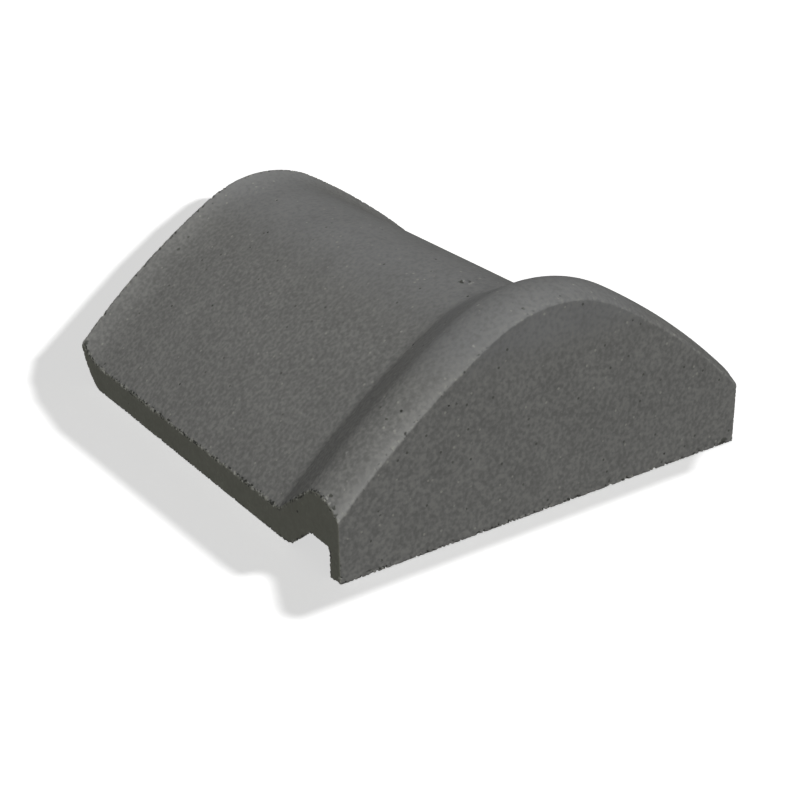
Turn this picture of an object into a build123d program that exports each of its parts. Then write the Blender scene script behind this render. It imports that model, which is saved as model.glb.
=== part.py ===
from build123d import *
from math import asin, cos, degrees, radians, sin, sqrt, tan
import os

# Block-end ridge tile of through-coloured concrete, moulded in one piece. An arched body
# covers the ridge. A raised roll runs over one end, which a flat plate closes, and the
# other end flares up into a thin lip that the next tile laps.
#
# Millimetres. X runs across the tile, Y along the ridge and Z up. The origin lies on the
# ground, under the middle of the tile, and the closed end faces -Y.

# Overall
length = 336.5  # from the plate's face to the tip of the lip
width = 300.0  # across the two cut sides
crest_height = 117.8  # top of the body's outer skin

# Arch of the body's outer skin: a crown over the crest, and a slightly bowed flank each side
crown_radius = 77.2
crown_half_angle = 30.5  # from the vertical, where the crown runs into a flank
flank_radius = 512.0

# Thicknesses
wall = 14.5
plate_thickness = 11.0

# Roll, with its heights taken square to the body's outer skin
roll_rise = 21.1  # top of the roll
roll_top = 20.0  # from the plate's face back to the top of the roll
roll_radius = 30.0
face_edge_rise = 14.8  # arris between the roll and the plate's face
shoulder_angle = 26.0  # slope where the roll turns down into its front shoulder
back_angle = 29.0  # slope of the roll's back
crease_radius = 14.0  # hollow where the roll's back meets the body

# Groove moulded under the roll, level with the body's outer skin at its deepest
groove_length = 19.2  # from the plate's inner face to the start of the groove's back
groove_back_angle = 28.5

# Lip at the open end
flare_length = 31.5
flare_radius = 66.0
tip_thickness = 4.0
bevel_radius = 38.0  # the underside's long round up to the tip

# Nail hole in the crest: open beneath, and closed on top by a thin skin that the nail breaks,
# with a shallow round mark moulded over it
nail_hole_radius = 3.0
nail_hole_setback = 88.0  # from the plate's face
nail_mark_radius = 3.2
nail_mark_depth = 1.2
nail_skin = 2.5

# Rounding
face_edge_round = 1.6
tip_round = 1.6  # upper arris of the lip
groove_end_round = 10.0
groove_foot_round = 14.0
plate_root_round = 2.5

# The trimming block stands this far clear of the ends that it isn't meant to cut
clearance = 5.0

# Places that follow from the sizes above
face_y = -length / 2
nail_y = face_y + nail_hole_setback
crown_centre = Vector(0, 0, crest_height - crown_radius)
centre_step = flank_radius - crown_radius
junction = radians(crown_half_angle)
flank_centre = crown_centre - Vector(sin(junction), 0, cos(junction)) * centre_step
flank_reach = (width / 2 + clearance - flank_centre.X) / (flank_radius - wall)
flank_arc = degrees(asin(flank_reach)) - crown_half_angle
crown_end = 90 - crown_half_angle  # the same turn, from the horizontal


def radial_plane(centre, radius, angle):
    """Plane with its x along the ridge and its y out of the skin, on an arc about centre."""
    outward = Vector(sin(radians(angle)), 0, cos(radians(angle)))
    across = Vector(cos(radians(angle)), 0, -sin(radians(angle)))
    return Plane(origin=centre + outward * radius, x_dir=(0, 1, 0), z_dir=across)


def wall_section(plane):
    """Lengthwise section of the wall, with the body's outer skin on the plane's x axis."""
    roll_centre = (face_y + roll_top, roll_rise - roll_radius)
    face_edge = (face_y, face_edge_rise)
    back_start = (
        roll_centre[0] + roll_radius * sin(radians(back_angle)),
        roll_centre[1] + roll_radius * cos(radians(back_angle)),
    )
    crease = (back_start[0] + back_start[1] / tan(radians(back_angle)), 0)
    flare_start = (face_y + length - flare_length, 0)
    flare_turn = asin(flare_length / flare_radius)
    flare_rise = flare_radius * (1 - cos(flare_turn))
    tip_top = (face_y + length, flare_rise)
    tip_bottom = (face_y + length, flare_rise - tip_thickness)
    bevel_rise = wall + flare_rise - tip_thickness
    bevel_turn = asin(sqrt(bevel_radius**2 - (bevel_radius - bevel_rise) ** 2) / bevel_radius)
    bevel_start = (face_y + length - bevel_radius * sin(bevel_turn), -wall)
    plate_back = face_y + plate_thickness
    groove_end = (plate_back + groove_length, 0)
    groove_foot = (groove_end[0] + wall / tan(radians(groove_back_angle)), -wall)
    plate_root = (plate_back, 0)

    with BuildSketch(plane) as section:
        with BuildLine():
            roll = CenterArc(roll_centre, roll_radius, 90 - back_angle, back_angle + shoulder_angle)
            TangentArc(roll @ 1, face_edge, tangent=roll % 1)
            Polyline(roll @ 0, crease, flare_start)
            JernArc(flare_start, (1, 0), flare_radius, degrees(flare_turn))
            Line(tip_top, tip_bottom)
            JernArc(bevel_start, (1, 0), bevel_radius, degrees(bevel_turn))
            Polyline(
                bevel_start,
                groove_foot,
                groove_end,
                plate_root,
                (plate_back, -wall / 2),
                (face_y, -wall / 2),
                face_edge,
            )
        make_face()
        rounds = (
            (face_edge, face_edge_round),
            (crease, crease_radius),
            (tip_top, tip_round),
            (groove_foot, groove_foot_round),
            (groove_end, groove_end_round),
            (plate_root, plate_root_round),
        )
        for corner, radius in rounds:
            fillet(section.vertices().sort_by_distance(corner)[0], radius)
    return section.sketch


with BuildPart() as ridge_tile:
    # Crown
    revolve(
        wall_section(radial_plane(crown_centre, crown_radius, -crown_half_angle)),
        axis=Axis(crown_centre, (0, 1, 0)),
        revolution_arc=2 * crown_half_angle,
    )
    # Flanks
    flank = revolve(
        wall_section(radial_plane(flank_centre, flank_radius, crown_half_angle)),
        axis=Axis(flank_centre, (0, 1, 0)),
        revolution_arc=flank_arc,
    )
    mirror(flank, about=Plane.YZ)
    # End plate, under the arch of the body's outer skin
    with BuildSketch(Plane.XZ.offset(-face_y)):
        with BuildLine():
            CenterArc((0, crown_centre.Z), crown_radius, crown_end, crown_half_angle)
            flank_line = CenterArc(
                (flank_centre.X, flank_centre.Z), flank_radius, crown_end - flank_arc, flank_arc
            )
            flank_end = flank_line @ 0
            base_z = min(flank_end.Y, 0) - clearance
            Polyline(flank_end, (flank_end.X, base_z), (0, base_z))
            mirror(about=Plane.YZ)
        make_face()
    extrude(amount=-plate_thickness)
    # Cut sides and foot
    with BuildSketch():
        Rectangle(width, length + 2 * clearance)
    extrude(amount=crest_height + roll_rise + clearance, mode=Mode.INTERSECT)
    # Nail hole and the mark over it
    with Locations((0, nail_y, crest_height)):
        Hole(nail_mark_radius, depth=nail_mark_depth)
    with Locations(Plane((0, nail_y, crest_height - wall - clearance), z_dir=(0, 0, -1))):
        Hole(nail_hole_radius, depth=clearance + wall - nail_mark_depth - nail_skin)

ridge_tile.part.label = "ridge_tile"

os.makedirs("parts", exist_ok=True)
export_step(ridge_tile.part, "parts/ridge_tile.step")
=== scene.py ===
import math

import bmesh
import bpy
import numpy as np
from mathutils import Matrix, Vector, noise
from mathutils.geometry import delaunay_2d_cdt
from mathutils.kdtree import KDTree


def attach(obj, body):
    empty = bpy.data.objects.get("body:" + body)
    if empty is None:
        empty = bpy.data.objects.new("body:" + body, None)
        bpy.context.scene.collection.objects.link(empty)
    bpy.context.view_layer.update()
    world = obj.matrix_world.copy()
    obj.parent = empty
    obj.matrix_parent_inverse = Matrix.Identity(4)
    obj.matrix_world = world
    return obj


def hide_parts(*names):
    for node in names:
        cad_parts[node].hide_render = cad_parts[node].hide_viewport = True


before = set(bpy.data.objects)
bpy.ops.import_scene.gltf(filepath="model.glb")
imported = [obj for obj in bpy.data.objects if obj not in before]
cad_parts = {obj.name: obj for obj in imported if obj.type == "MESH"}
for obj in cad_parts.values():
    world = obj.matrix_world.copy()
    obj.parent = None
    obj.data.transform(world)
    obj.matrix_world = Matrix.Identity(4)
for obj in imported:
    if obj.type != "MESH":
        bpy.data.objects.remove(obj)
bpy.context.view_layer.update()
print("frame loaded")


def linear(hexColour):
    # sRGB hex to the linear values that Blender works in
    channels = [int(hexColour[i:i + 2], 16) / 255 for i in (1, 3, 5)]
    return tuple(c / 12.92 if c <= 0.04045 else ((c + 0.055) / 1.055) ** 2.4
                 for c in channels) + (1.0,)


def perMetre(sizeInMm):
    # texture scale that draws one feature about every sizeInMm
    return 1000 / sizeInMm


def addNode(tree, kind, inputs=None, **settings):
    # a node with its settings; an input is a value, or another node's output to link
    node = tree.nodes.new(kind)
    for name, value in settings.items():
        setattr(node, name, value)
    for name, value in (inputs or {}).items():
        if isinstance(value, bpy.types.NodeSocket):
            tree.links.new(value, node.inputs[name])
        else:
            node.inputs[name].default_value = value
    return node


# The tile, in mm: y runs along the ridge, x across it, and rise is square to the outer skin
tile = {
    "length": 336.5, "width": 300.0, "crestHeight": 117.8,
    "crownRadius": 77.2, "crownHalfAngle": 30.5, "flankRadius": 512.0,
    "wall": 14.5, "plate": 11.0,
    "rollRise": 21.1, "rollTop": 20.0, "rollRadius": 30.0, "faceEdgeRise": 14.8,
    "shoulderAngle": 26.0, "backAngle": 29.0, "creaseRound": 14.0,
    "grooveLength": 19.2, "grooveBackAngle": 28.5,
    "grooveEndRound": 10.0, "grooveFootRound": 14.0, "plateRootRound": 2.5,
    "flareLength": 31.5, "flareRadius": 66.0, "lipThickness": 4.0, "bevelRadius": 38.0,
    "faceEdgeRound": 1.6, "lipRound": 1.6,
    "nailSetback": 88.0, "nailMarkRadius": 3.2, "nailMarkDepth": 1.2,
    "nailHoleRadius": 3.0, "nailSkin": 2.5,
    "fineMesh": 0.6,        # spacing along the arrises; it doubles three times away from them
    "sharpAngle": 38.0,     # degrees; a steeper bend between two faces is shaded as an edge
    "arrisRound": 0.55,     # radius that handling leaves on a cast arris
    "arrisReach": 4.0,      # how far from an arris its wear can go
    "chipRound": 2.0,       # added to the radius where a grain or two has come away
    "chipSize": 1.5,        # size of the single chips
    "chipPatch": 7.0,       # size of the stretches where chips are frequent
    "plateChips": 0.15,     # share of the chips that the edges round the plate have
    "footRound": 5.0,       # at the foot's corner beside the notch
    "unevenness": 0.12,     # how far the skin wanders, always inward
    "broadWave": 38.0,      # sizes of the waves in it
    "fineWave": 15.0,
    "nailMarkEdge": 0.5,    # width of the mark's soft edge
    "highlightWidth": 7.0,     # of the painted highlight behind the face
    "lipPaleWidth": 18.0,
}


def curve(values):
    # lengthwise section from the top of the face, over the outer skin, round the lip and
    # back along the underside to the inside of the plate, as points (y, rise) in mm
    faceY = -values["length"] / 2
    endY = values["length"] / 2
    plateBack = faceY + values["plate"]
    wall = values["wall"]
    arcPoints, shoulderPoints, linePoints, roundPoints = 160, 120, 60, 40
    stub = 4  # mm; the first and last runs only give the rounds there something to turn from

    def arc(centre, radius, start, stop):
        turn = np.radians(np.linspace(start, stop, arcPoints))
        return np.c_[centre[0] + radius * np.cos(turn), centre[1] + radius * np.sin(turn)]

    def tangentArc(start, direction, stop):
        # leaves start in this direction and ends at stop
        start, direction, stop = np.array(start), np.array(direction), np.array(stop)
        side = np.array((-direction[1], direction[0]))
        chord = stop - start
        radius = chord @ chord / (2 * chord @ side)
        centre = start + side * radius
        first = math.atan2(*(start - centre)[::-1])
        turn = 2 * math.atan2(chord @ side, chord @ direction)
        angles = first + np.linspace(0, turn, shoulderPoints)
        return centre + abs(radius) * np.c_[np.cos(angles), np.sin(angles)]

    rollCentre = (faceY + values["rollTop"], values["rollRise"] - values["rollRadius"])
    roll = arc(rollCentre, values["rollRadius"], 90 - values["backAngle"],
               90 + values["shoulderAngle"])
    rollEnd = math.radians(180 + values["shoulderAngle"])
    shoulder = tangentArc(roll[-1], (math.cos(rollEnd), math.sin(rollEnd)),
                          (faceY, values["faceEdgeRise"]))
    crease = (roll[0][0] + roll[0][1] / math.tan(math.radians(values["backAngle"])), 0)
    flareTurn = math.degrees(math.asin(values["flareLength"] / values["flareRadius"]))
    flare = arc((endY - values["flareLength"], values["flareRadius"]), values["flareRadius"],
                -90, -90 + flareTurn)
    lipBottom = flare[-1] - (0, values["lipThickness"])
    bevelRise = wall + lipBottom[1]
    bevelTurn = math.degrees(math.acos(1 - bevelRise / values["bevelRadius"]))
    bevelStart = endY - values["bevelRadius"] * math.sin(math.radians(bevelTurn))
    bevel = arc((bevelStart, values["bevelRadius"] - wall), values["bevelRadius"],
                -90, -90 + bevelTurn)
    grooveEnd = (plateBack + values["grooveLength"], 0)
    grooveFoot = (grooveEnd[0] + wall / math.tan(math.radians(values["grooveBackAngle"])), -wall)

    def straight(a, b):
        share = np.linspace(0, 1, linePoints)[:, None]
        return np.array(a) + share * (np.array(b) - np.array(a))

    runs = [
        straight((faceY, values["faceEdgeRise"] - stub), (faceY, values["faceEdgeRise"])),
        np.vstack([shoulder[::-1], roll[::-1][1:], straight(roll[0], crease)[1:]]),
        np.vstack([straight(crease, flare[0]), flare[1:]]),
        np.vstack([straight(flare[-1], lipBottom), bevel[::-1][1:],
                   straight(bevel[0], grooveFoot)[1:]]),
        straight(grooveFoot, grooveEnd),
        straight(grooveEnd, (plateBack, 0)),
        straight((plateBack, 0), (plateBack, -stub)),
    ]
    rounds = [values[k] for k in ("faceEdgeRound", "creaseRound", "lipRound",
                                  "grooveFootRound", "grooveEndRound", "plateRootRound")]

    def trimmed(points, fromStart, fromEnd):
        # what is left of a run between the rounds at its two ends
        along = np.r_[0, np.cumsum(np.linalg.norm(np.diff(points, axis=0), axis=1))]
        stop = along[-1] - fromEnd
        kept = points[(along > fromStart) & (along < stop)]
        ends = [[np.interp(a, along, points[:, k]) for k in (0, 1)] for a in (fromStart, stop)]
        return np.vstack([ends[0], kept, ends[1]])

    corners = []
    cuts = [[0, 0] for run in runs]
    for i, radius in enumerate(rounds):
        before = runs[i][-1] - runs[i][-2]
        after = runs[i + 1][1] - runs[i + 1][0]
        before, after = before / np.linalg.norm(before), after / np.linalg.norm(after)
        bend = math.atan2(before[0] * after[1] - before[1] * after[0], before @ after)
        reach = radius * math.tan(abs(bend) / 2)
        cuts[i][1] = reach
        cuts[i + 1][0] = reach
        side = np.array((-before[1], before[0])) * math.copysign(1, bend)
        centre = runs[i][-1] - before * reach + side * radius
        first = math.atan2(*(-side)[::-1])
        angles = first + np.linspace(0, bend, roundPoints)
        corners.append(centre + radius * np.c_[np.cos(angles), np.sin(angles)])
    parts = []
    for i in range(1, len(runs) - 1):
        parts += [corners[i - 1], trimmed(runs[i], *cuts[i])[1:-1]]
    parts.append(corners[-1])
    points = np.vstack(parts)
    along = np.r_[0, np.cumsum(np.linalg.norm(np.diff(points, axis=0), axis=1))]

    def alongTo(point):
        return along[np.argmin(np.linalg.norm(points - point, axis=1))]

    marks = {
        "faceEdge": alongTo(corners[0][roundPoints // 2]),
        "creaseEnd": alongTo(corners[1][-1]),
        "flareStart": alongTo(flare[0]),
        "lipTop": alongTo(corners[2][roundPoints // 2]),
        "lipBottom": alongTo(lipBottom),
        "bevelStart": alongTo(bevel[0]),
        "grooveFoot": alongTo(corners[3][0]),
    }
    return along, points, marks


class Arch:
    # the crown and flank arcs that the section is swept along
    def __init__(self, values):
        self.half = values["width"] / 2
        self.crown = values["crownRadius"]
        self.flank = values["flankRadius"]
        self.turn = math.radians(values["crownHalfAngle"])
        self.crownZ = values["crestHeight"] - self.crown
        step = self.flank - self.crown
        self.flankX = -math.sin(self.turn) * step
        self.flankZ = self.crownZ - math.cos(self.turn) * step
        self.crownLength = self.crown * self.turn

    def end(self, rise):
        # where a line at this rise is cut off: by the side, or before that by the ground
        radius = self.flank + rise
        side = np.arcsin((self.half - self.flankX) / radius)
        ground = np.arccos(np.clip(-self.flankZ / radius, -1, 1))
        stop = np.minimum(side, ground)
        return self.crownLength + self.flank * (stop - self.turn)

    def place(self, y, rise, share):
        # share runs from -1 at the left end of the arch to 1 at the right one
        s = np.abs(share) * self.end(rise)
        onCrown = s < self.crownLength
        angle = np.where(onCrown, s / self.crown,
                         self.turn + (s - self.crownLength) / self.flank)
        radius = np.where(onCrown, self.crown, self.flank) + rise
        x = np.where(onCrown, 0, self.flankX) + radius * np.sin(angle)
        z = np.where(onCrown, self.crownZ, self.flankZ) + radius * np.cos(angle)
        return np.c_[x * np.sign(share), y, z]


class Skin:
    # gathers the patches of one closed mesh; points that coincide are welded at the end
    def __init__(self):
        self.places = []
        self.faces = []
        self.count = 0

    def add(self, places, faces):
        self.places.append(places)
        self.faces += (np.array(faces) + self.count).tolist()
        self.count += len(places)


def doublings(distance):
    # how often the spacing of the mesh doubles this far, in mm, from what needs it fine
    return np.select([distance < 1.9, distance < 5, distance < 12], [0, 1, 2], 3)


def nested(width, height, fine, wanted):
    # points of a square grid over 0 to 1, fine where wanted() gives 0, and twice as wide
    # there for each 1 that it gives more
    coarsest = 8
    columns = 2 * coarsest * max(1, round(width / fine / (2 * coarsest)))
    rows = coarsest * max(1, round(height / fine / coarsest))
    i, j = (grid.ravel() for grid in np.meshgrid(
        np.arange(rows + 1), np.arange(columns + 1), indexing="ij"))
    level = np.zeros(len(i), int)
    for k in (1, 2, 3):
        level[(i % 2 ** k == 0) & (j % 2 ** k == 0)] = k
    x, y = j / columns, i / rows
    keep = level >= wanted(x, y)
    return x[keep], y[keep]


def triangles(points, edges=()):
    # faces that join the points, kept to the edges given
    made = delaunay_2d_cdt([Vector(p) for p in points], edges, [], 0, 1e-6, True)
    madeFaces, madeFrom = made[2], made[3]
    return np.array([[madeFrom[i][0] for i in face] for face in madeFaces])


def within(points, outline):
    # which points lie in the outline: a line to the right crosses it an odd number of times
    chosen = np.zeros(len(points), bool)
    x, y = outline.T
    nextX, nextY = np.roll(outline, -1, axis=0).T
    slope = (nextX - x) / np.where(nextY == y, 1, nextY - y)
    batch = 500
    for k in range(0, len(points), batch):
        px, py = points[k:k + batch].T[:, :, None]
        passes = (y > py) != (nextY > py)
        chosen[k:k + batch] = (passes & (px < x + (py - y) * slope)).sum(1) % 2 == 1
    return chosen


def fillFlat(skin, outline, fine, lift):
    # a flat face in a closed outline; lift puts the flat points in space
    low = outline.min(0)
    size = outline.max(0) - low
    tree = KDTree(len(outline))
    for k, point in enumerate(outline):
        tree.insert((*point, 0), k)
    tree.balance()

    def wanted(x, y):
        # a point closer to the outline than 0.6 of the spacing would make slivers
        away = np.array([tree.find((*p, 0))[2] for p in low + np.c_[x, y] * size])
        level, leftOut = doublings(away), 9
        return np.where(away > 0.6 * fine * 2.0 ** level, level, leftOut)

    grid = low + np.c_[nested(*size, fine, wanted)] * size
    points = np.vstack([outline, grid[within(grid, outline)]])
    n = len(outline)
    faces = triangles(points, [(k, (k + 1) % n) for k in range(n)])
    # a face between three points of the outline can lie outside it
    loose = np.nonzero((faces < n).all(1))[0]
    outside = loose[~within(points[faces[loose]].mean(1), outline)]
    skin.add(lift(points), np.delete(faces, outside, axis=0))


def circle(radius, count=32):
    # points evenly round a circle about the origin
    turn = np.arange(count) * 2 * math.pi / count
    return radius * np.c_[np.cos(turn), np.sin(turn)]


def steps(start, stop, spacing):
    # even steps of about this spacing, with both ends
    return np.linspace(start, stop, max(2, round(abs(stop - start) / spacing)) + 1)


def sweepSkin(skin, values, along, section, marks, arch, crossings):
    # outer skin and lip, underside, the part cut off by the ground and groove; returns the
    # ends of these four at the right side, and the edges at the face and inside the plate
    fine = values["fineMesh"]
    markRings = (1.0, 1.9, 2.5, 2.9, 3.2, 3.5, 4.0, 4.6)
    holeRings = (values["nailHoleRadius"], 3.5, 4.1, 4.8)
    ringGap = 0.5  # mm from the last ring to the grid
    markReach, holeReach, plateReach = 6, 5, 6  # mm; the mesh is fine this far round them
    spread = float(arch.end(np.array(0.0)))  # half the arch, along the skin
    nailY = values["nailSetback"] - values["length"] / 2

    def alongAt(first, last):
        # where the section passes the nail, between two marks
        chosen = (along >= marks[first]) & (along <= marks[last])
        order = np.argsort(section[chosen, 0])
        return np.interp(nailY, section[chosen, 0][order], along[chosen][order])

    markAt = np.array((0, alongAt("creaseEnd", "flareStart")))
    holeAt = np.array((0, alongAt("bevelStart", "grooveFoot")))
    inner = arch.crown - values["wall"]
    underEnd = float(arch.end(np.array(-values["wall"])))
    # one part ends at the lip's lower edge, and the others where the ground starts to cut
    stops = [0, marks["lipBottom"], *crossings, along[-1]]
    parts = []
    for start, stop in zip(stops[:-1], stops[1:]):

        def wanted(x, t):
            across, t = (x * 2 - 1) * spread, start + t * (stop - start)
            sharp = np.minimum.reduce([
                spread - np.abs(across), np.abs(t - marks["lipBottom"]),
                np.abs(t - marks["lipTop"]), np.abs(t - marks["faceEdge"]),
                np.hypot(across, t - markAt[1]) - markReach,
                np.hypot(across, t - holeAt[1]) - holeReach])
            flared = (t > marks["flareStart"]) & (t < marks["bevelStart"])
            curved = (t < marks["creaseEnd"]) | (t > marks["grooveFoot"]) | flared
            level = np.where(curved, np.minimum(doublings(sharp), 2), doublings(sharp))
            atPlate = t > along[-1] - plateReach
            return np.where(atPlate, np.minimum(level, 1), level)

        x, t = nested(2 * spread, stop - start, fine, wanted)
        flat = np.c_[(x * 2 - 1) * spread, start + t * (stop - start)]
        drilled = start < holeAt[1] < stop
        if start < markAt[1] < stop:
            clear = np.hypot(*(flat - markAt).T) > markRings[-1] + ringGap
            circles = [markAt + circle(r) for r in markRings]
            flat = np.vstack([flat[clear], markAt[None], *circles])
        if drilled:
            clear = np.hypot(*(flat - holeAt).T) > holeRings[-1] + ringGap
            circles = [circle(r) for r in holeRings]
            for c in circles:  # round as seen along the hole, not over the curved skin
                c[:, 0] = np.arcsin(c[:, 0] / inner) * arch.crown * spread / underEnd
            flat = np.vstack([flat[clear]] + [holeAt + c for c in circles])
        faces = triangles(flat)
        y, rise = (np.interp(flat[:, 1], along, section[:, k]) for k in (0, 1))
        places = arch.place(y, rise, flat[:, 0] / spread)
        if drilled:
            middle = places[faces].mean(1)[:, :2] - (0, nailY)
            closing = np.hypot(*middle.T) <= 0.99 * values["nailHoleRadius"]
            faces = faces[~closing]
        skin.add(places, faces)
        parts.append((flat, places))

    def border(part, column, value):
        # the points where this column of the flat places has this value, in order of the other
        flat, places = part
        chosen = np.nonzero(np.abs(flat[:, column] - value) < 1e-6)[0]
        return places[chosen[np.argsort(flat[chosen, 1 - column])]]

    ends = [border(part, 0, spread) for part in parts]
    return ends, border(parts[0], 1, 0), border(parts[-1], 1, along[-1])


def closeTile(skin, values, ends, frontEdge, backEdge):
    # the flat faces: plate, cut sides and feet
    fine = values["fineMesh"]
    half = values["width"] / 2
    faceY = -values["length"] / 2
    plateBack = faceY + values["plate"]
    bottom = steps(-half, half, fine)

    def row(first, second):
        # points of a straight edge; one of the two values is the same for all of them
        return np.column_stack(np.broadcast_arrays(first, second))

    # the plate's two faces, and its foot
    for y, edge in ((faceY, frontEdge), (plateBack, backEdge)):
        up = steps(0, edge[0][2], fine)
        outline = np.vstack([
            edge[:, (0, 2)], row(half, up[::-1])[1:], row(bottom[::-1], 0)[1:],
            row(-half, up)[1:-1]])
        fillFlat(skin, outline, fine, lambda p: np.c_[p[:, 0], np.full(len(p), y), p[:, 1]])
    thick = steps(faceY, plateBack, fine)
    outline = np.vstack([
        row(bottom, faceY), row(half, thick)[1:], row(bottom[::-1], plateBack)[1:],
        row(-half, thick[::-1])[1:-1]])
    fillFlat(skin, outline, fine, lambda p: np.c_[p, np.zeros(len(p))])
    # the cut sides, and the feet where the ground cuts their lower corner
    over, under, foot, groove = ends
    front = steps(0, frontEdge[-1][2], fine)
    back = steps(0, backEdge[-1][2], fine)
    outline = np.vstack([
        row(faceY, front), over[1:, 1:], under[1:, 1:], row(foot[:, 1], 0)[1:],
        groove[1:, 1:], row(plateBack, back[::-1])[1:], row(thick[::-1], 0)[1:-1]])
    n = len(foot)
    strip = [face for k in range(n - 1)
             for face in ((k, k + n, k + n + 1), (k, k + n + 1, k + 1))]
    for side in (-1, 1):
        fillFlat(skin, outline, fine, lambda p: np.c_[np.full(len(p), side * half), p])
        corner = np.c_[np.full(n, half), foot[:, 1:]]
        skin.add(np.vstack([foot, corner]) * (side, 1, 1), strip)


def drillNailHole(skin, values, arch):
    # the blind hole's wall and its closed top
    nailY = values["nailSetback"] - values["length"] / 2
    top = values["crestHeight"] - values["nailMarkDepth"] - values["nailSkin"]
    ring = circle(values["nailHoleRadius"])
    foot = arch.crownZ + np.sqrt((arch.crown - values["wall"]) ** 2 - ring[:, 0] ** 2)
    storeys = 8
    places = [np.c_[ring[:, 0], ring[:, 1] + nailY, foot + share * (top - foot)]
              for share in np.linspace(0, 1, storeys + 1)]
    n = len(ring)
    faces = []
    for k in range(storeys):
        for i in range(n):
            a, b = k * n + i, k * n + (i + 1) % n
            faces += [(a, b, b + n), (a, b + n, a + n)]
    last = storeys * n
    faces += [(last + i, last + (i + 1) % n, last + n) for i in range(n)]
    skin.add(np.vstack(places + [[(0, nailY, top)]]), faces)


def pointData(mesh, name):
    found = np.empty(len(mesh.vertices) * 3)
    mesh.vertices.foreach_get(name, found)
    return found.reshape(-1, 3)


def findArrises(mesh, places, fromNail):
    # a search tree of the points where the mesh bends outward, apart from the nail mark's
    leastBend, markReach = 0.3, 8  # radians, mm
    work = bmesh.new()
    work.from_mesh(mesh)
    bends = [(e, e.calc_face_angle_signed(0)) for e in work.edges]
    corners = sorted({v.index for e, bend in bends if bend > leastBend for v in e.verts})
    work.free()
    tree = KDTree(len(corners))
    for v in corners:
        if fromNail[v] > markReach:
            tree.insert(places[v], v)
    tree.balance()
    return tree


def wearArrises(values, tree, places, normals, onSide):
    # rounds the arrises and breaks chips out of them; returns the moved points, and for each
    # how close it lies to an arris and how far it is chipped
    count = len(places)
    faceY = -values["length"] / 2
    reach = values["arrisReach"]
    cornerDepth = 0.414  # by this share of its radius a round lies inside a square corner
    apart = Vector((7, 3, 1))  # so that the patches don't follow the chips
    # the edges round the plate came clean out of the mould; its foot took the most knocks
    byFace = places[:, 1] < 3 + faceY
    onGround = places[:, 2] < 0.01
    clean = byFace & (places[:, 2] > 5)
    knocked = byFace & onGround
    behindPlate = places[:, 1] > values["plate"] + 3 + faceY
    footY = places[onSide & onGround & behindPlate, 1].min()
    fromFoot = np.linalg.norm(np.abs(places) - (values["width"] / 2, abs(footY), 0), axis=1)
    arris = np.zeros(count)
    chipped = np.zeros(count)
    moved = places.copy()
    for v in range(count):
        point = Vector(places[v])
        _, nearest, away = tree.find(point)
        if away > reach:
            continue
        arris[v] = 1 - away / reach
        patch = noise.noise(point / values["chipPatch"] + apart)
        loose = noise.noise(point / values["chipSize"]) + patch * 0.4 + 0.03
        loose *= values["plateChips"] if clean[nearest] else 1
        loose = min(max(loose, 0) * 2.6, 1)
        radius = values["arrisRound"] + values["chipRound"] * loose
        if knocked[nearest]:
            radius += values["chipRound"] * loose
        if fromFoot[nearest] < 3 and places[v, 1] < 0:
            radius = max(radius, values["footRound"] * (1 - fromFoot[nearest] / 4))
        fade = max(0, 1 - away / (1.1 * radius))
        moved[v] -= normals[nearest] * (cornerDepth * radius * fade ** 2)
        chipped[v] = loose * min(max(1.9 - away, 0), 1)
    return moved, arris, chipped


def weather(mesh, values):
    # wears the arrises, lets the skin wander a little and presses the nail mark, and keeps
    # for the concrete where the roll takes its painted highlight and the lip is paler, and where
    # it is chipped or cut
    places = pointData(mesh, "co") * 1000
    normals = pointData(mesh, "normal")
    upward = normals[:, 2]
    nailY = values["nailSetback"] - values["length"] / 2
    fromNail = np.hypot(places[:, 0], places[:, 1] - nailY)
    fromFace = places[:, 1] + values["length"] / 2
    fromLip = values["length"] / 2 - places[:, 1]
    onSide = np.abs(places[:, 0]) > values["width"] / 2 - 0.01

    tree = findArrises(mesh, places, fromNail)
    moved, arris, chipped = wearArrises(values, tree, places, normals, onSide)

    wander = np.array([noise.noise(Vector(p) / values["broadWave"])
                       + 0.5 * noise.noise(Vector(p) / values["fineWave"]) for p in places])
    depth = np.clip(0.5 + 0.5 * wander, 0, 1) * values["unevenness"]
    ease = np.clip(places[:, 2] / 4, 0, 1) * np.clip(1 - arris, 0, 1)
    moved -= normals * (depth * ease)[:, None]

    onMark = (fromNail < 6) & (places[:, 2] > values["crestHeight"] - 2)
    ragged = np.array([noise.noise(Vector(p) / 1.6) for p in places[onMark]])
    inside = values["nailMarkRadius"] + 0.25 * ragged - fromNail[onMark]
    edge = np.clip(inside / values["nailMarkEdge"] + 0.5, 0, 1)
    moved[onMark, 2] -= values["nailMarkDepth"] * edge * edge * (3 - 2 * edge)
    moved = np.clip(moved, places.min(0), places.max(0))
    mesh.vertices.foreach_set("co", (moved / 1000).ravel())

    # painted highlight on the roll's upper faces behind the face, strongest on the left where the
    # light falls; the lip is a little paler all round
    highlightAndPaleLip = np.clip(1 - fromFace / values["highlightWidth"], 0, 1)
    highlightAndPaleLip *= np.clip((upward - 0.1) * 4, 0, 1) * np.clip(0.1 - places[:, 0] / 170, 0, 1)
    highlightAndPaleLip += 0.3 * np.clip(1 - fromLip / values["lipPaleWidth"], 0, 1) * (upward > 0.1)
    for name, amounts in (("highlightAndPaleLip", highlightAndPaleLip), ("chipped", chipped), ("cut", onSide)):
        kept = mesh.attributes.new(name, "FLOAT", "POINT")
        kept.data.foreach_set("value", amounts.astype(float))
    mesh.update()


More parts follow.
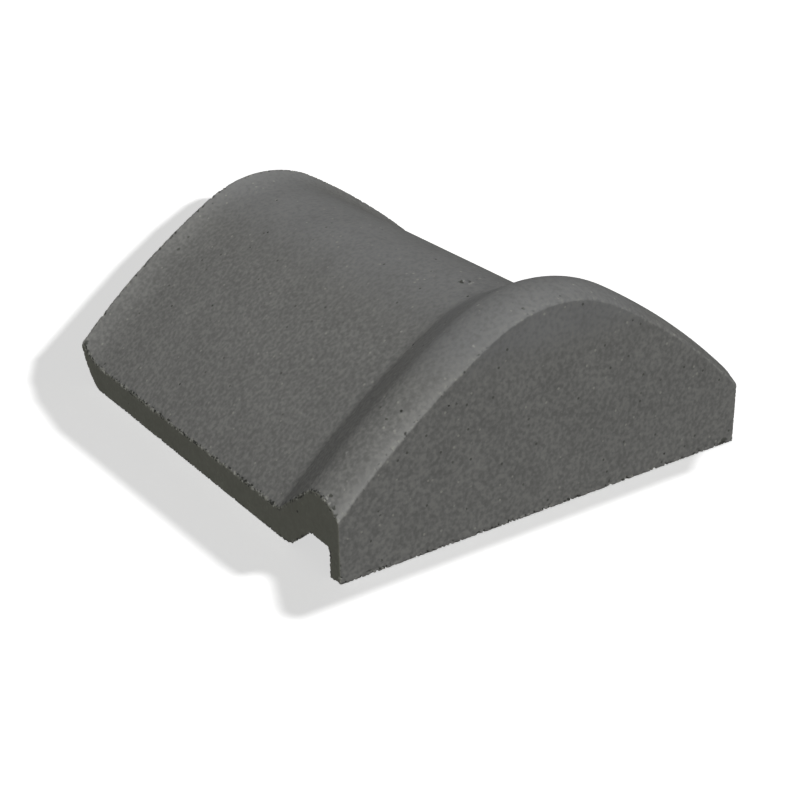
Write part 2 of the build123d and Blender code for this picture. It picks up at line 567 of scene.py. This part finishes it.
def makeTile(values):
    weld = 2e-5  # m
    along, section, marks = curve(values)
    arch = Arch(values)
    # the side's lower corner passes through the ground under the lip and in the groove
    reach = math.hypot(arch.half - arch.flankX, arch.flankZ) - arch.flank
    above = section[:, 1] > reach
    crossings = []
    for k in np.nonzero(above[1:] != above[:-1])[0]:
        share = (reach - section[k, 1]) / (section[k + 1, 1] - section[k, 1])
        crossings.append(along[k] + share * (along[k + 1] - along[k]))
    skin = Skin()
    ends, frontEdge, backEdge = sweepSkin(skin, values, along, section, marks, arch, crossings)
    closeTile(skin, values, ends, frontEdge, backEdge)
    drillNailHole(skin, values, arch)
    mesh = bpy.data.meshes.new("ridgeTile")
    mesh.from_pydata((np.vstack(skin.places) / 1000).tolist(), [], skin.faces)
    work = bmesh.new()
    work.from_mesh(mesh)
    bmesh.ops.remove_doubles(work, verts=work.verts, dist=weld)
    bmesh.ops.recalc_face_normals(work, faces=work.faces)
    print("open edges:", sum(not e.is_manifold for e in work.edges))
    work.to_mesh(mesh)
    work.free()
    weather(mesh, values)
    mesh.shade_smooth()
    mesh.set_sharp_from_angle(angle=math.radians(values["sharpAngle"]))
    made = bpy.data.objects.new("ridgeTile", mesh)
    bpy.context.scene.collection.objects.link(made)
    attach(made, "root")
    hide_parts("ridge_tile")
    print("tile made:", len(mesh.vertices), "points,", len(mesh.polygons), "triangles")
    return made


dressedTile = makeTile(tile)

# Moulded concrete, coloured through with anthracite pigment. It is pressed earth-moist, so the
# skin is matt and finely sandy, with a few grains of another colour and small open pits, painted
# dark as the shade in them. Where an arris has lost a grain the chip is painted dark as its
# shade, and the roll behind the face is painted paler as a highlight; the lip is a little paler
# all round.
# The cut sides are smoother, and they get an olive tint as painted shade. To the eye it is a dull
# dark grey without any shine, a little smoother along the crest and painted paler there as top
# light.
concrete = {
    "paste": "#646462",
    "paleGrain": "#6e6e6b",
    "darkGrain": "#5a5a58",
    "paleSpeck": "#82827c",
    "darkSpeck": "#3a3b37",
    "shadedPit": "#30312d",
    "crest": "#696a6b",
    "highlightAndPaleLip": "#7f7f7d",
    "cut": "#64655a",
    "shadedChip": "#30312d",
    "grit": "#82827c",
    "darkSpotAndShadow": "#393a35",
    "paleSpotAndHighlight": "#8a8a86",
    "grain": 2.7,       # mm; real sand is 0.3 to 1 mm, drawn coarser so that it shows
    "speck": 3.0,       # mm between the odd grains of another colour
    "pitSpacing": 9.0,  # mm
    "ragged": 1.5,      # mm; size of the bays in the outline of the spots
    "raggedBy": 2.0,    # mm; how deep they go
    "mottle": 26.0,     # mm; cloudy patches from uneven moisture
    "clouds": (0.95, 1.05),      # darkest and palest of them
    "roughness": 0.9,
    "slick": 0.55,               # how much of the grain is gone on the crest
    "slickFrom": (0.09, 0.115),  # m above the ground, where it starts and is full
    "grainHeight": 0.17,         # mm
    "pitDepth": 0.4,             # mm
    # x, y, z and radius in mm, and shade: painted shadow and highlight in the nail mark, and dark
    # and pale spots elsewhere
    "spotsAndPaintedLight": [
        # the first nine: painted shadow along the nail mark's rim, and painted highlight beside
        # it
        (-0.5, -77.9, 117, 1.7, -1), (-2.1, -78.9, 117, 2.0, -1), (-2.4, -81.0, 117, 1.8, -1),
        (-1.4, -82.2, 117, 1.5, -1), (0.3, -82.6, 117, 1.3, -0.9), (2.0, -81.8, 117, 1.7, -1),
        (1.0, -78.4, 117, 1.0, 0.9), (0.4, -85.2, 117.7, 1.5, 0.6), (3.0, -84.2, 117.6, 1.5, 0.6),
        (142.0, -168.2, 2.5, 3.0, -0.9), (139.0, -168.2, 1.0, 2.2, -0.9),
        (-107.6, -154.3, 85.2, 1.1, -0.9), (-146.8, -156.5, 50.5, 1.5, -0.9),
        (-67.5, 155.9, 92.5, 1.4, -0.7), (-76.1, 154.1, 86.0, 1.4, -0.7),
        (-20.4, -163.1, 132.7, 1.1, -0.8), (68.7, -168.2, 69.0, 1.2, -0.8),
        (45.2, -168.2, 3.9, 1.3, -0.8), (-122.1, -168.2, 6.8, 1.2, -0.7),
        (-20.4, -131.4, 131.6, 1.6, -0.8),
        (-129.2, -146.3, 67.9, 1.1, 0.7), (-54.4, -162.8, 118.2, 1.1, 0.7),
        (-148.6, -155.2, 49.3, 1.3, 0.8), (-51.5, -86.3, 99.5, 1.1, 0.7),
        (-35.9, -141.6, 131.2, 1.0, 0.6),
        (-148.3, 164.0, 29.3, 2.2, -0.9), (-149.4, 159.6, 24.3, 1.8, -0.9),
        (-148.8, -161.5, 45.9, 1.5, -0.9), (-149.2, -165.0, 43.3, 1.3, -0.8),
        (-149.4, -167.4, 41.3, 1.2, 0.7), (-148.8, -158.6, 47.7, 1.1, 0.7),
    ],
}


def makeConcrete(values):
    material = bpy.data.materials.new("mouldedConcrete")
    material.use_nodes = True
    tree = material.node_tree
    tree.nodes.clear()
    place = addNode(tree, "ShaderNodeTexCoord").outputs["Object"]
    grain, mottle, ragged = (
        addNode(tree, "ShaderNodeTexNoise", {
            "Vector": place, "Scale": perMetre(values[size]), "Detail": detail}).outputs[found]
        for size, detail, found in (
            ("grain", 1.0, "Fac"), ("mottle", 4.0, "Fac"), ("ragged", 0.0, "Color")))
    specks, pits = (
        addNode(tree, "ShaderNodeTexVoronoi", {
            "Vector": place, "Scale": perMetre(values[size])}).outputs
        for size in ("speck", "pitSpacing"))
    speckKind, pitKind = (
        addNode(tree, "ShaderNodeSeparateColor", {"Color": found["Color"]}).outputs
        for found in (specks, pits))
    # the machine's roller slicks the crest, so the grain is fainter there
    level = addNode(tree, "ShaderNodeSeparateXYZ", {"Vector": place}).outputs["Z"]
    slick = addNode(tree, "ShaderNodeMapRange", {
        "Value": level, "From Min": values["slickFrom"][0], "From Max": values["slickFrom"][1],
        "To Max": values["slick"]}).outputs["Result"]
    evenGrain = 0.51  # the middle of the noise
    grain = addNode(tree, "ShaderNodeMix", {0: slick, 2: grain, 3: evenGrain}).outputs[0]
    highlightAndPaleLip, chipped, cut = (
        addNode(tree, "ShaderNodeAttribute", attribute_name=name).outputs["Fac"]
        for name in ("highlightAndPaleLip", "chipped", "cut"))

    # the spots, with the painted shadow and highlight in the nail mark, add up to one value, dark
    # below nothing and pale above it
    shift = addNode(tree, "ShaderNodeVectorMath", {
        0: ragged, 1: (0.5, 0.5, 0.5)}, operation="SUBTRACT").outputs["Vector"]
    loose = addNode(tree, "ShaderNodeVectorMath", {
        0: shift, 1: (values["raggedBy"] / 1000,) * 3, 2: place},
                    operation="MULTIPLY_ADD").outputs["Vector"]
    shade = 0.0
    for x, y, z, radius, strength in values["spotsAndPaintedLight"]:
        away = addNode(tree, "ShaderNodeVectorMath", {
            0: loose, 1: (x / 1000, y / 1000, z / 1000)}, operation="DISTANCE").outputs["Value"]
        spot = addNode(tree, "ShaderNodeMapRange", {
            "Value": away, "From Min": radius / 1000, "From Max": radius / 2000,
            "To Max": strength}).outputs["Result"]
        shade = addNode(tree, "ShaderNodeMath", {0: shade, 1: spot},
                        operation="ADD").outputs["Value"]

    # how much of each colour shows: its source, the source's values where it starts and is
    # full, and how much that is
    amounts = {}
    for name, source, start, full, most in (
            ("darkGrain", grain, 0.52, 0.3, 1.0),
            ("paleGrain", grain, 0.5, 0.72, 1.0),
            # painted light: the crest paler towards its top, where the light from above falls
            ("crest", level, 0.1, 0.117, 0.6),
            # painted shade: an olive tint on the cut sides as the colour of their shade
            ("cut", cut, 0.3, 0.9, 0.75),
            ("spot", specks["Distance"], 0.36, 0.2, 1.0),
            ("pale", speckKind["Red"], 0.955, 0.97, 0.8),
            ("dark", speckKind["Green"], 0.987, 0.992, 0.8),
            ("hollow", pits["Distance"], 0.11, 0.06, 1.0),
            ("open", pitKind["Blue"], 0.88, 0.9, 1.0),
            # painted highlight on the roll behind the face, and the lip a little paler
            ("highlightAndPaleLip", highlightAndPaleLip, 0.0, 1.0, 0.75),
            ("chip", chipped, 0.1, 0.4, 1.0),
            ("sandy", grain, 0.6, 0.45, 1.0),
            ("rim", chipped, 0.0, 0.25, 1.0),
            ("gritty", grain, 0.48, 0.6, 0.8),
            # darker for dark spots and painted shadow, paler for pale spots and painted highlight
            ("darkSpotAndShadow", shade, 0.0, -1.0, 1.0),
            ("paleSpotAndHighlight", shade, 0.0, 1.0, 1.0)):
        amounts[name] = addNode(tree, "ShaderNodeMapRange", {
            "Value": source, "From Min": start, "From Max": full,
            "To Max": most}).outputs["Result"]
    # painted shade: the pits, and the sandy parts of the chips, darker as where shade falls in
    # them
    for name, first, second in (
            ("paleSpeck", "spot", "pale"), ("darkSpeck", "spot", "dark"),
            ("shadedPit", "hollow", "open"), ("shadedChip", "chip", "sandy"), ("grit", "rim", "gritty")):
        amounts[name] = addNode(tree, "ShaderNodeMath", {
            0: amounts[first], 1: amounts[second]}, operation="MULTIPLY").outputs["Value"]
    # sockets 0, 6 and 7 of a Mix node are the share and the two colours that it mixes
    colour = linear(values["paste"])
    for name in ("crest", "darkGrain", "paleGrain", "paleSpeck", "darkSpeck", "highlightAndPaleLip", "cut",
                 "shadedPit", "shadedChip", "grit", "darkSpotAndShadow", "paleSpotAndHighlight"):
        colour = addNode(tree, "ShaderNodeMix", {
            0: amounts[name], 6: colour, 7: linear(values[name])}, data_type="RGBA").outputs[2]
    darkest, palest = values["clouds"]
    cloud = addNode(tree, "ShaderNodeMapRange", {
        "Value": mottle, "From Min": 0.3, "From Max": 0.7, "To Min": darkest, "To Max": palest})
    colour = addNode(tree, "ShaderNodeVectorMath", {
        0: colour, "Scale": cloud.outputs["Result"]}, operation="SCALE").outputs["Vector"]

    hollow = addNode(tree, "ShaderNodeMath", {
        0: amounts["shadedPit"], 1: -values["pitDepth"] / 1000}, operation="MULTIPLY").outputs["Value"]
    height = addNode(tree, "ShaderNodeMath", {
        0: grain, 1: values["grainHeight"] / 1000, 2: hollow}, operation="MULTIPLY_ADD")
    bump = addNode(tree, "ShaderNodeBump", {
        "Height": height.outputs["Value"], "Strength": 1.0, "Distance": 1.0})
    shader = addNode(tree, "ShaderNodeBsdfPrincipled", {
        "Base Color": colour, "Roughness": values["roughness"], "IOR": 1.5,
        "Normal": bump.outputs["Normal"]})
    addNode(tree, "ShaderNodeOutputMaterial", {"Surface": shader.outputs["BSDF"]})
    return material


dressedTile.data.materials.append(makeConcrete(concrete))
print("concrete made")

# The view of the photograph
camera = {
    "place": (-0.55251, -0.82993, 0.48399),  # m
    "turn": 33.887,     # degrees from +Y towards +X
    "dip": 25.588,
    "roll": -0.988,
    "lens": 73.676,     # mm
    "film": 36.0,       # mm wide
    "clip": (0.01, 100.0),
}


def makeCamera(values):
    turn, dip, roll = (math.radians(values[k]) for k in ("turn", "dip", "roll"))
    ahead = Vector((math.sin(turn), math.cos(turn), 0))
    right = Vector((math.cos(turn), -math.sin(turn), 0))
    view = ahead * math.cos(dip) - Vector((0, 0, math.sin(dip)))
    up = ahead * math.sin(dip) + Vector((0, 0, math.cos(dip)))
    rolledRight = right * math.cos(roll) + up * math.sin(roll)
    rolledUp = up * math.cos(roll) - right * math.sin(roll)
    data = bpy.data.cameras.new("camera")
    data.sensor_width = values["film"]
    data.lens = values["lens"]
    data.clip_start, data.clip_end = values["clip"]
    made = bpy.data.objects.new("camera", data)
    made.matrix_world = Matrix.Translation(Vector(values["place"])) @ Matrix(
        (rolledRight, rolledUp, -view)).transposed().to_4x4()
    bpy.context.scene.collection.objects.link(made)
    bpy.context.scene.camera = made


makeCamera(camera)

# Pale paper and broad lamps. Paper that bright would throw light up under the tile, which the
# photograph doesn't show, so the tile and the floor are lit apart. The shadow there is as wide
# on the left as in front, so an unseen card of its shape, just over the floor, throws it.
studio = {
    "paper": "#f7f7f7",
    "floorGlow": 0.68,    # what is left in the shadow
    "wallGlow": 1.1,
    "roomSize": 12.0,     # m from the middle to a wall
    "sky": "#f4f4e6",
    "skyStrength": 0.04,
    "lampSpread": 24,     # degrees across, for soft shadows
    "lamps": {            # degrees from the front towards the left, degrees up, strength, lit
        "front": (0, 60, 1.285, "tile"),
        "left": (60, 50, 0.842, "tile"),
        "right": (-60, 50, 0.795, "tile"),
        "low": (30, 20, 1.477, "tile"),
        "back": (195, 14, 0.251, "tile"),
        "top": (0, 90, 1.6, "floor"),
    },
    "cardHeight": 25,     # mm
    "card": [             # mm; its outline, x and y
        (100, -184), (-185, -184), (-191, -178), (-191, -170), (-178, -140), (-179, -131),
        (-192, -126), (-194, -110), (-197, 0), (-200, 105), (-193, 157), (-183, 191),
        (-167, 222), (-142, 248), (-87, 306), (-35, 360), (30, 422), (84, 466), (104, 476),
        (124, 468), (150, 168), (150, -150)],
}


def makePaper(name, points, faces, colour, glow):
    # matt paper gives the eye an even near-white; it glows, and throws no light on the tile
    mesh = bpy.data.meshes.new(name)
    mesh.from_pydata(points, [], faces)
    material = bpy.data.materials.new("mattPaper")
    material.use_nodes = True
    shader = material.node_tree.nodes["Principled BSDF"]
    for socket, value in (("Base Color", linear(colour)), ("Roughness", 0.95),
                          ("Emission Color", linear(colour)), ("Emission Strength", glow)):
        shader.inputs[socket].default_value = value
    mesh.materials.append(material)
    made = bpy.data.objects.new(name, mesh)
    made.visible_diffuse = False
    made.visible_glossy = False
    bpy.context.scene.collection.objects.link(made)
    return made


def makeStudio(values):
    size = values["roomSize"]
    low = [(-size, -size, 0), (size, -size, 0), (size, size, 0), (-size, size, 0)]
    high = [(x, y, size) for x, y, _ in low]
    floor = makePaper("floor", low, [(0, 1, 2, 3)], values["paper"], values["floorGlow"])
    sides = [(k, (k + 1) % 4, (k + 1) % 4 + 4, k + 4) for k in range(4)]
    walls = makePaper("walls", low + high, sides, values["paper"], values["wallGlow"])
    walls.visible_shadow = False
    outline = [(x / 1000, y / 1000, values["cardHeight"] / 1000) for x, y in values["card"]]
    card = makePaper("card", outline, [range(len(outline))], values["paper"], 0)
    card.visible_camera = False
    world = bpy.data.worlds.new("studio")
    world.use_nodes = True
    sky = world.node_tree.nodes["Background"]
    sky.inputs["Color"].default_value = linear(values["sky"])
    sky.inputs["Strength"].default_value = values["skyStrength"]
    bpy.context.scene.world = world
    # what each kind of lamp lights, and what blocks its light
    linked = {"tile": ([dressedTile], [dressedTile]), "floor": ([floor], [dressedTile, card])}
    for name, (around, height, strength, lit) in values["lamps"].items():
        data = bpy.data.lights.new(name, "SUN")
        data.angle = math.radians(values["lampSpread"])
        data.energy = strength
        lamp = bpy.data.objects.new(name, data)
        lamp.rotation_euler = (math.radians(90 - height), 0, math.radians(-around))
        for role, pieces in zip(("receiver", "blocker"), linked[lit]):
            group = bpy.data.collections.new(name + role)
            for piece in pieces:
                group.objects.link(piece)
            setattr(lamp.light_linking, role + "_collection", group)
        bpy.context.scene.collection.objects.link(lamp)


makeStudio(studio)
bpy.context.scene.view_settings.view_transform = "Standard"
print("camera and studio made")
